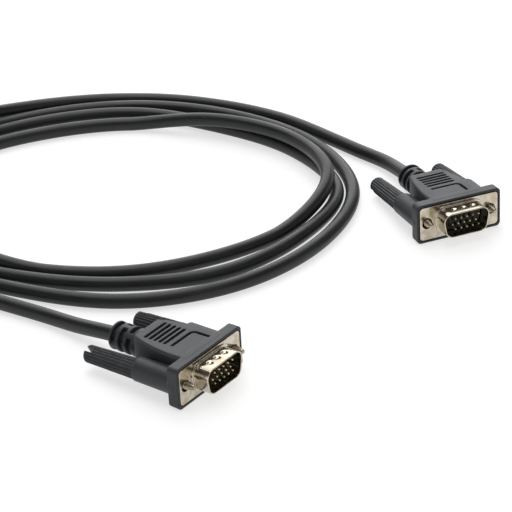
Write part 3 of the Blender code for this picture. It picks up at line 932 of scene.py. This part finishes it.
@dataclass(frozen=True)
class Thumbscrew:
    """A ribbed knob moulded over the back of a jack screw."""

    y: float = 12.495
    knob_back: float = -39.9
    knob_front: float = -19.1
    back_radius: float = 3.0
    front_radius: float = 3.5
    ribs: int = 20
    rib_depth: float = 0.4
    slot_width: float = 1.7
    slot_depth: float = 3.0
    socket: float = 1.72
    screw_radius: float = 1.42
    screw_back: float = -27.0
    screw_tip: float = 3.7
    tip_radius: float = 0.75
    taper: float = 1.0
    droop: float = 2.2
    pivot: float = -10.0
    thread_pitch: float = 0.635
    thread_depth: float = 0.2
    thread_back: float = -3.0
    thread_rows: int = 12           # to a turn
    thread_crest: float = 1.25      # over 1: the roots are flat
    thread_fade: tuple[float, float] = (-2.6, 0.6)      # where it starts to grow, and over what length
    chamfer: float = 0.2
    chamfer_slope: float = 0.9
    screw_sides: int = 36
    rib_fade: tuple[float, float] = (0.3, 0.9)          # the same, from the knob's back
    rib_power: float = 0.8          # under 1: the grooves are wider than the ribs
    rib_scale: float = 0.93
    socket_room: float = 0.3
    socket_rim: float = 0.1
    back_round: float = 0.7
    edge: float = 0.15
    cell: float = 0.17
    margin: float = 0.4

    def knob_distance(self, p: np.ndarray) -> np.ndarray:
        """Distance to the knob about its own axis.

        Its radius grows evenly to the front, less the rib depth times half of one minus the cosine of
        the rib count times the angle. The ribs run out at the rounded back, which a driver slot crosses.

        Args:
            p: Points; the last axis is x, y, z.

        Returns:
            The distances, negative inside; those to the ribs are scaled down, since the ribs are steep.
        """
        x, y, z = p[..., 0], p[..., 1], p[..., 2]
        out = np.hypot(y, z)
        share = (x - self.knob_back) / (self.knob_front - self.knob_back)
        radius = self.back_radius + (self.front_radius - self.back_radius) * share
        start, run = self.rib_fade
        fade = np.clip((x - self.knob_back - start) / run, 0, 1)
        wave = 0.5 - 0.5 * np.cos(self.ribs * np.arctan2(z, y))
        shape = out - radius + self.rib_depth * fade * wave**self.rib_power
        shape = round_max(shape * self.rib_scale, self.knob_back - x, self.back_round)
        shape = round_max(shape, x - self.knob_front, self.edge)
        socket = np.maximum(out - self.socket, self.screw_back - self.socket_room - x)
        shape = cut(shape, socket, self.socket_rim)
        slot = np.maximum(np.abs(z) - self.slot_width / 2, x - self.knob_back - self.slot_depth)
        return cut(shape, slot, self.edge)

    def knob(self) -> Surface:
        """Wrap the knob.

        Returns:
            Points about its own axis and quads.
        """
        reach = self.front_radius + self.margin
        low = (self.knob_back - self.margin, -reach, -reach)
        high = (self.knob_front + self.margin, reach, reach)
        return net_surface(self.knob_distance, low, high, self.cell)

    def hang(self, points: np.ndarray, side: Side, turn: float = 0.0) -> np.ndarray:
        """Put points about the screw's axis where it lies in its sleeve, tilted by its play, knob low.

        Args:
            points: Points about the axis.
            side: The sleeve.
            turn: How far the screw is turned, in degrees.

        Returns:
            The points in the plug's frame.
        """
        lean, spin = math.radians(self.droop), math.radians(turn)
        x = points[:, 0] - self.pivot
        y = points[:, 1] * math.cos(spin) - points[:, 2] * math.sin(spin)
        z = points[:, 1] * math.sin(spin) + points[:, 2] * math.cos(spin)
        hung = [self.pivot + x * math.cos(lean) - z * math.sin(lean), y + side.value * self.y,
                x * math.sin(lean) + z * math.cos(lean)]
        return np.stack(hung, axis=1)

    def screw(self) -> Surface:
        """Work out the screw.

        The radius is the shaft's less the thread depth times a wave of x over the pitch minus the
        angle over a full turn, with flattened crests. The thread runs from the tip to behind the plate,
        and towards the tip the radius goes over evenly into the tip's, with a small chamfer.

        Returns:
            Points about its own axis and quads.
        """
        sides = self.screw_sides
        thread = np.arange(self.thread_back, self.screw_tip, self.thread_pitch / self.thread_rows)
        rows = np.concatenate([[self.screw_back], thread, [self.screw_tip]])
        angles = np.arange(sides) * FULL_TURN / sides
        x = rows[:, None]
        phase = x / self.thread_pitch - angles[None, :] / FULL_TURN
        wave = np.clip(np.abs(2 * (phase - np.floor(phase)) - 1) * self.thread_crest, 0, 1)
        start, run = self.thread_fade
        radius = self.screw_radius - self.thread_depth * wave * np.clip((x - start) / run, 0, 1)
        share = np.clip((x - self.taper) / (self.screw_tip - self.taper), 0, 1)
        radius = radius * (1 - share) + self.tip_radius * share
        chamfer = self.tip_radius - self.chamfer + (self.screw_tip - x) * self.chamfer_slope
        radius = np.minimum(radius, chamfer)
        across, up = radius * np.cos(angles), radius * np.sin(angles)
        body = np.stack([np.repeat(x, sides, axis=1), across, up], axis=-1)
        closed = body[[0, *range(len(rows)), -1]].copy()
        closed[[0, -1], :, 1:] *= NEARLY_ZERO
        return closed.reshape(-1, 3), grid_faces(len(closed), sides, False, True)


@dataclass
class Plug:
    """One dressed plug at its end of the cable."""

    end: End
    finishes: Finishes
    pieces: list[bpy.types.Object] = field(default_factory=list)

    def add(self, name: str, surface: Surface, material: bpy.types.Material,
            slot: str, nodes: list[str], body: str = ROOT_BODY) -> None:
        """Make one piece of the plug, in place of its CAD nodes.

        Args:
            name: Name of the piece, without the end.
            surface: Points in the plug's frame and quads.
            material: Its finish.
            slot: Not used.
            nodes: The nodes it stands for.
            body: The body it moves with.
        """
        points, faces = surface
        made = make_piece(f"{self.end.value}_{name}_skin", PLACES[self.end].apply(points), faces, material)
        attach(made, body)
        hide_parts(*nodes)
        self.pieces.append(made)
        LOG.info("%s: %d points, %d quads", made.name, len(points), len(faces))

    def dress(
        self, hood: Surface, shell: Surface, contacts: Surface, knob: Surface, screw: Surface,
        nodes: dict[str, bpy.types.Object],
    ) -> None:
        """Build every piece of the plug from the shared surfaces.

        Args:
            hood: Surface of the hood.
            shell: Surface of the shell.
            contacts: Surface of the pins.
            knob: Surface of a knob about its axis.
            screw: Surface of a screw about its axis.
            nodes: The CAD nodes by name.
        """
        end = self.end.value
        self.add("hood", hood, self.finishes.hood, "hood_pvc", [f"{end}_hood"])
        self.add("shell", shell, self.finishes.nickel, "shell_nickel", [f"{end}_shell"])
        pins = [f"{end}_pin_{n:02d}" for n in range(1, PINS + 1)]
        self.add("pins", contacts, self.finishes.gold, "contact_gold", pins)
        for side in Side:
            body = f"{end}_{side.word}_thumbscrew"
            hung = Thumbscrew().hang(knob[0], side, KNOB_TURNS[self.end, side]), knob[1]
            self.add(f"{side.word}_knob", hung, self.finishes.hood, "hood_pvc",
                     [f"{end}_{side.word}_knob"], body)
            hung = Thumbscrew().hang(screw[0], side), screw[1]
            self.add(f"{side.word}_screw", hung, self.finishes.steel, "screw_nickel",
                     [f"{end}_{side.word}_screw"], body)
        insulator = nodes[f"{end}_insulator"]
        insulator.data.materials.clear()
        insulator.data.materials.append(self.finishes.nylon)
        self.pieces.append(insulator)


# ---- the cable


@dataclass(frozen=True)
class Cable:
    """The cable: a jacket that lies in three loose turns between the plugs; its length is assumed."""

    radius: float = 2.6
    length: float = 1.8
    centre: tuple[float, float] = (-60.6, 63.2)
    first_spoke: float = -120.0
    spoke_step: float = 30.0
    relief_back: float = -38.3
    into_relief: float = 2.0
    spokes: tuple[tuple[float, float], ...] = (
        (83.4, 2.6), (89.5, 2.6), (93.5, 2.6), (90.0, 2.6), (79.8, 2.6), (75.6, 2.6), (74.6, 2.6),
        (78.1, 2.6), (81.3, 2.6), (77.6, 2.6), (75.5, 2.6), (74.3, 2.6), (74.0, 2.6), (83.4, 2.6),
        (87.2, 2.6), (83.6, 2.6), (74.0, 2.6), (69.2, 2.6), (64.4, 2.6), (68.9, 2.6), (75.7, 2.6),
        (69.1, 2.6), (66.1, 2.6), (62.9, 2.6), (66.2, 2.6), (77.2, 2.6), (80.9, 2.6), (75.0, 2.6),
        (64.2, 2.6), (60.2, 2.6), (60.0, 7.5), (68.0, 8.2), (72.4, 8.2), (61.9, 2.6), (55.3, 2.6),
        (55.3, 2.6), (60.0, 2.6), (71.2, 6.6), (80.5, 8.6), (90.5, 9.4), (85.9, 4.3), (82.1, 2.6),
        (81.2, 2.6),
    )
    near_lead: tuple[tuple[float, float], ...] = ((8, 5.2), (17, 3.7))
    far_lead: tuple[tuple[float, float], ...] = ((8, 4.0), (17, 2.9))
    near_run: tuple[tuple[float, float, float], ...] = ((-81.9, -21.4, 2.7), (-91.0, -15.6, 2.6))
    far_run: tuple[tuple[float, float, float], ...] = (
        (-2.6, 122.6, 2.6), (12.7, 107.3, 2.6), (25.2, 93.6, 2.6))
    cubic_steps: int = 24
    bell_reach: int = 6
    bell_width: float = 2.5
    step: float = 2.0
    sides: int = 32

    def lead(self, end: End) -> np.ndarray:
        """Route points behind a plug: out of the relief along its axis, then down towards the table.

        Args:
            end: The plug's end.

        Returns:
            The points in millimetres.
        """
        drop = self.near_lead if end is End.NEAR else self.far_lead
        axis = np.array([[self.relief_back, 0.0, 0.0]] + [[self.relief_back - d, 0.0, 0.0] for d, _ in drop])
        points = PLACES[end].apply(axis) / MM
        points[1:, 2] = [height for _, height in drop]
        return points

    def route(self) -> np.ndarray:
        """The route points of the part's source: spokes of a wheel, and the runs to it.

        Returns:
            The points in millimetres.
        """
        angles = np.radians(self.first_spoke - np.arange(len(self.spokes)) * self.spoke_step)
        reach = np.array(self.spokes)
        turns = np.stack([
            self.centre[0] + reach[:, 0] * np.cos(angles),
            self.centre[1] + reach[:, 0] * np.sin(angles),
            reach[:, 1],
        ], axis=1)
        leads = self.lead(End.NEAR), self.lead(End.FAR)[::-1]
        return np.concatenate([leads[0], self.near_run, turns, self.far_run, leads[1]])

    def centreline(self) -> np.ndarray:
        """Even points along the smooth curve, in millimetres.

        Each stretch of the route is a cubic that starts and ends along the mean of its neighbours'
        slopes, weighted by length. The points are then spread evenly and averaged with a bell curve
        a few of them wide, and kept no lower than the radius.

        Returns:
            The points, in millimetres.
        """
        route = self.route()
        chords = np.diff(route, axis=0)
        steps = np.linalg.norm(chords, axis=1)[:, None]
        slopes = chords / steps
        inner = (slopes[:-1] * steps[1:] + slopes[1:] * steps[:-1]) / (steps[:-1] + steps[1:])
        tangents = np.concatenate([slopes[:1], inner, slopes[-1:]])
        t = np.linspace(0, 1, self.cubic_steps, endpoint=False)[None, :, None]
        a, b = route[:-1, None], route[1:, None]
        curve = a * (2 * t**3 - 3 * t**2 + 1) + b * (3 * t**2 - 2 * t**3)
        curve = curve + (tangents[:-1] * steps)[:, None] * (t**3 - 2 * t**2 + t)
        curve = curve + (tangents[1:] * steps)[:, None] * (t**3 - t**2)
        fine = np.concatenate([curve.reshape(-1, 3), route[-1:]])
        inside = np.array([[self.relief_back + self.into_relief, 0.0, 0.0]])
        stem = [PLACES[end].apply(inside) / MM for end in End]
        fine = np.concatenate([stem[0], fine, stem[1]])
        along = np.concatenate([[0], np.cumsum(np.linalg.norm(np.diff(fine, axis=0), axis=1))])
        even = np.linspace(0, along[-1], round(along[-1] / self.step) + 1)
        line = np.stack([np.interp(even, along, fine[:, k]) for k in range(3)], axis=1)
        reach = self.bell_reach
        bell = np.exp(-0.5 * (np.arange(-reach, reach + 1) / self.bell_width) ** 2)
        bell /= bell.sum()
        before, after = 2 * line[0] - line[reach:0:-1], 2 * line[-1] - line[-2:-reach - 2:-1]
        padded = np.concatenate([before, line, after])
        soft = np.stack([np.convolve(padded[:, k], bell, mode="valid") for k in range(3)], axis=1)
        soft[:, 2] = np.maximum(soft[:, 2], self.radius)
        return soft

    def build(self, finishes: Finishes, on_it: list[bpy.types.Object]) -> bpy.types.Object:
        """A ring's points are the centreline's point plus the radius times cos a along the level side
        direction and sin a along the direction square to it. The UV map counts millimetres.

        Args:
            finishes: The materials.
            on_it: Not used.

        Returns:
            The cable's object.
        """
        line = self.centreline()
        ahead = np.gradient(line, axis=0)
        ahead /= np.linalg.norm(ahead, axis=1)[:, None]
        level = np.cross(ahead, [0.0, 0.0, 1.0])
        level /= np.linalg.norm(level, axis=1)[:, None]
        square = np.cross(level, ahead)
        angles = np.arange(self.sides) * FULL_TURN / self.sides
        ring = level[:, None] * np.cos(angles)[:, None] + square[:, None] * np.sin(angles)[:, None]
        points = line[:, None] + self.radius * ring
        caps = [line[[k], None] + NEARLY_ZERO * ring[[k]] for k in (0, -1)]
        points = np.concatenate([caps[0], points, caps[1]])
        faces = grid_faces(len(points), self.sides, False, True)
        row, column = faces // self.sides, faces % self.sides
        seam = faces[:, :1] % self.sides == self.sides - 1
        column = np.where(seam & (column == 0) & (faces != faces[:, :1]), self.sides, column)
        around = column * FULL_TURN * self.radius / self.sides
        uv = np.stack([around, row * self.step], axis=-1)
        points = points.reshape(-1, 3) * MM
        piece = make_piece("cable_jacket", points, faces[:, ::-1], finishes.jacket, uv[:, ::-1])
        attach(piece, ROOT_BODY)
        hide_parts("cable")
        way_out = self.lead(End.NEAR)[0] * MM
        LOG.info("cable_jacket: %d rings", len(line))
        return piece


# ---- the studio


@dataclass(frozen=True)
class Studio:
    """White floor, three soft lamps, a sky and the photograph's camera.

    Gloss sees a sky that is white round the horizon and dark overhead.
    """

    camera_place: tuple[float, float, float] = (-15.6, -629.8, 372.8)       # in millimetres
    look_down: float = 29.79
    roll: float = -1.74
    lens: float = 151.14
    sensor: float = 36.0
    floor_colour: str = "b0b0b0"
    floor_glow: float = 0.66
    sky_diffuse: float = 0.28
    dome_dark: float = 0.1                          # what gloss sees overhead
    dome_rise: tuple[float, float] = (0.12, 0.5)    # sines of the elevations between which it darkens
    floor_reach: float = 4.0
    floor_points: int = 9
    floor_drop: float = 0.0002
    # name, place and size in metres, and watts
    lamps: tuple[tuple[str, tuple[float, float, float], float, float], ...] = (
        ("overhead", (-0.15, 0.3, 1.6), 1.2, 12.0),
        ("back softbox", (-0.1, 1.45, 0.95), 1.7, 18.0),
        ("front fill", (0.5, -0.9, 1.4), 0.8, 1.5),
    )

    def add_camera(self) -> None:
        """Place the camera at the photograph's viewpoint."""
        lens = bpy.data.cameras.new("camera")
        lens.lens = self.lens
        lens.sensor_width = self.sensor
        lens.clip_start, lens.clip_end = 0.01, 50.0
        camera = bpy.data.objects.new("camera", lens)
        bpy.context.scene.collection.objects.link(camera)
        camera.matrix_world = (
            Matrix.Translation([v * MM for v in self.camera_place])
            @ Matrix.Rotation(math.radians(90 - self.look_down), 4, "X")
            @ Matrix.Rotation(math.radians(self.roll), 4, "Z")
        )
        bpy.context.scene.camera = camera

    def add_floor(self) -> None:
        """Lay the floor: matt white, lifted to white for camera, glossy and clear rays."""
        made = bpy.data.materials.new("white sweep")
        made.use_nodes = True
        tree = made.node_tree
        tree.nodes.clear()
        ray = add_node(tree, "ShaderNodeLightPath")
        seen = add_node(tree, "ShaderNodeMath", {"operation": "MAXIMUM"},
                        {0: ray.outputs["Is Camera Ray"], 1: ray.outputs["Is Glossy Ray"]})
        seen = add_node(tree, "ShaderNodeMath", {"operation": "MAXIMUM"},
                        {0: seen.outputs[0], 1: ray.outputs["Is Transmission Ray"]})
        strength = add_node(tree, "ShaderNodeMath", {"operation": "MULTIPLY"},
                            {0: seen.outputs[0], 1: self.floor_glow})
        glow = add_node(tree, "ShaderNodeEmission", None, {"Color": WHITE, "Strength": strength.outputs[0]})
        matt = add_node(tree, "ShaderNodeBsdfDiffuse", None, {"Color": linear(self.floor_colour)})
        both = add_node(tree, "ShaderNodeAddShader", None, {0: glow.outputs[0], 1: matt.outputs[0]})
        add_node(tree, "ShaderNodeOutputMaterial", None, {"Surface": both.outputs[0]})
        count = self.floor_points
        across = np.linspace(-self.floor_reach, self.floor_reach, count)
        x, y = np.meshgrid(across, across)
        points = np.stack([x, y, np.full(x.shape, -self.floor_drop)], axis=-1).reshape(-1, 3)
        make_piece("floor", points, grid_faces(count, count, False, False), made)

    def add_light(self) -> None:
        """Hang the lamps and set the sky, which is white to camera and clear rays."""
        for name, place, size, power in self.lamps:
            lamp = bpy.data.lights.new(name, "AREA")
            lamp.size = size
            lamp.energy = power
            hung = bpy.data.objects.new(name, lamp)
            bpy.context.scene.collection.objects.link(hung)
            hung.rotation_euler = Vector(place).to_track_quat("Z", "Y").to_euler()
            hung.location = place
        world = bpy.data.worlds.new("plain sky")
        bpy.context.scene.world = world
        world.use_nodes = True
        tree = world.node_tree
        tree.nodes.clear()
        ray = add_node(tree, "ShaderNodeLightPath")
        way = add_node(tree, "ShaderNodeTexCoord").outputs["Generated"]
        rise = add_node(tree, "ShaderNodeSeparateXYZ", None, {"Vector": way}).outputs["Z"]
        low, high = self.dome_rise
        dome = add_node(tree, "ShaderNodeMapRange", {"interpolation_type": "SMOOTHSTEP"},
                        {"Value": rise, "From Min": low, "From Max": high,
                         "To Min": 1.0, "To Max": self.dome_dark})
        gloss = add_node(tree, "ShaderNodeMapRange", None,
                         {"Value": ray.outputs["Is Glossy Ray"], "To Min": self.sky_diffuse,
                          "To Max": dome.outputs["Result"]})
        clear = add_node(tree, "ShaderNodeMath", {"operation": "MAXIMUM"},
                         {0: ray.outputs["Is Camera Ray"], 1: ray.outputs["Is Transmission Ray"]})
        strength = add_node(tree, "ShaderNodeMath", {"operation": "MAXIMUM"},
                            {0: gloss.outputs["Result"], 1: clear.outputs[0]})
        sky = add_node(tree, "ShaderNodeBackground", None, {"Color": WHITE, "Strength": strength.outputs[0]})
        add_node(tree, "ShaderNodeOutputWorld", None, {"Surface": sky.outputs[0]})


def main() -> None:
    """Load the frame, dress the plugs and the cable, and set up the studio."""
    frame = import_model()
    studio = Studio()
    studio.add_camera()
    finishes = Finishes()
    hood, shell, contacts = Hood().surface(), Shell().surface(), Contacts().surface()
    screw_set = Thumbscrew()
    knob, screw = screw_set.knob(), screw_set.screw()
    plugs = {end: Plug(end, finishes) for end in End}
    for plug in plugs.values():
        plug.dress(hood, shell, contacts, knob, screw, frame["nodes"])
    Cable().build(finishes, plugs[End.FAR].pieces)
    studio.add_floor()
    studio.add_light()
    bpy.context.scene.view_settings.view_transform = "Standard"


if __name__ == "__main__":
    logging.basicConfig(level=logging.INFO, format="%(message)s")
    main()
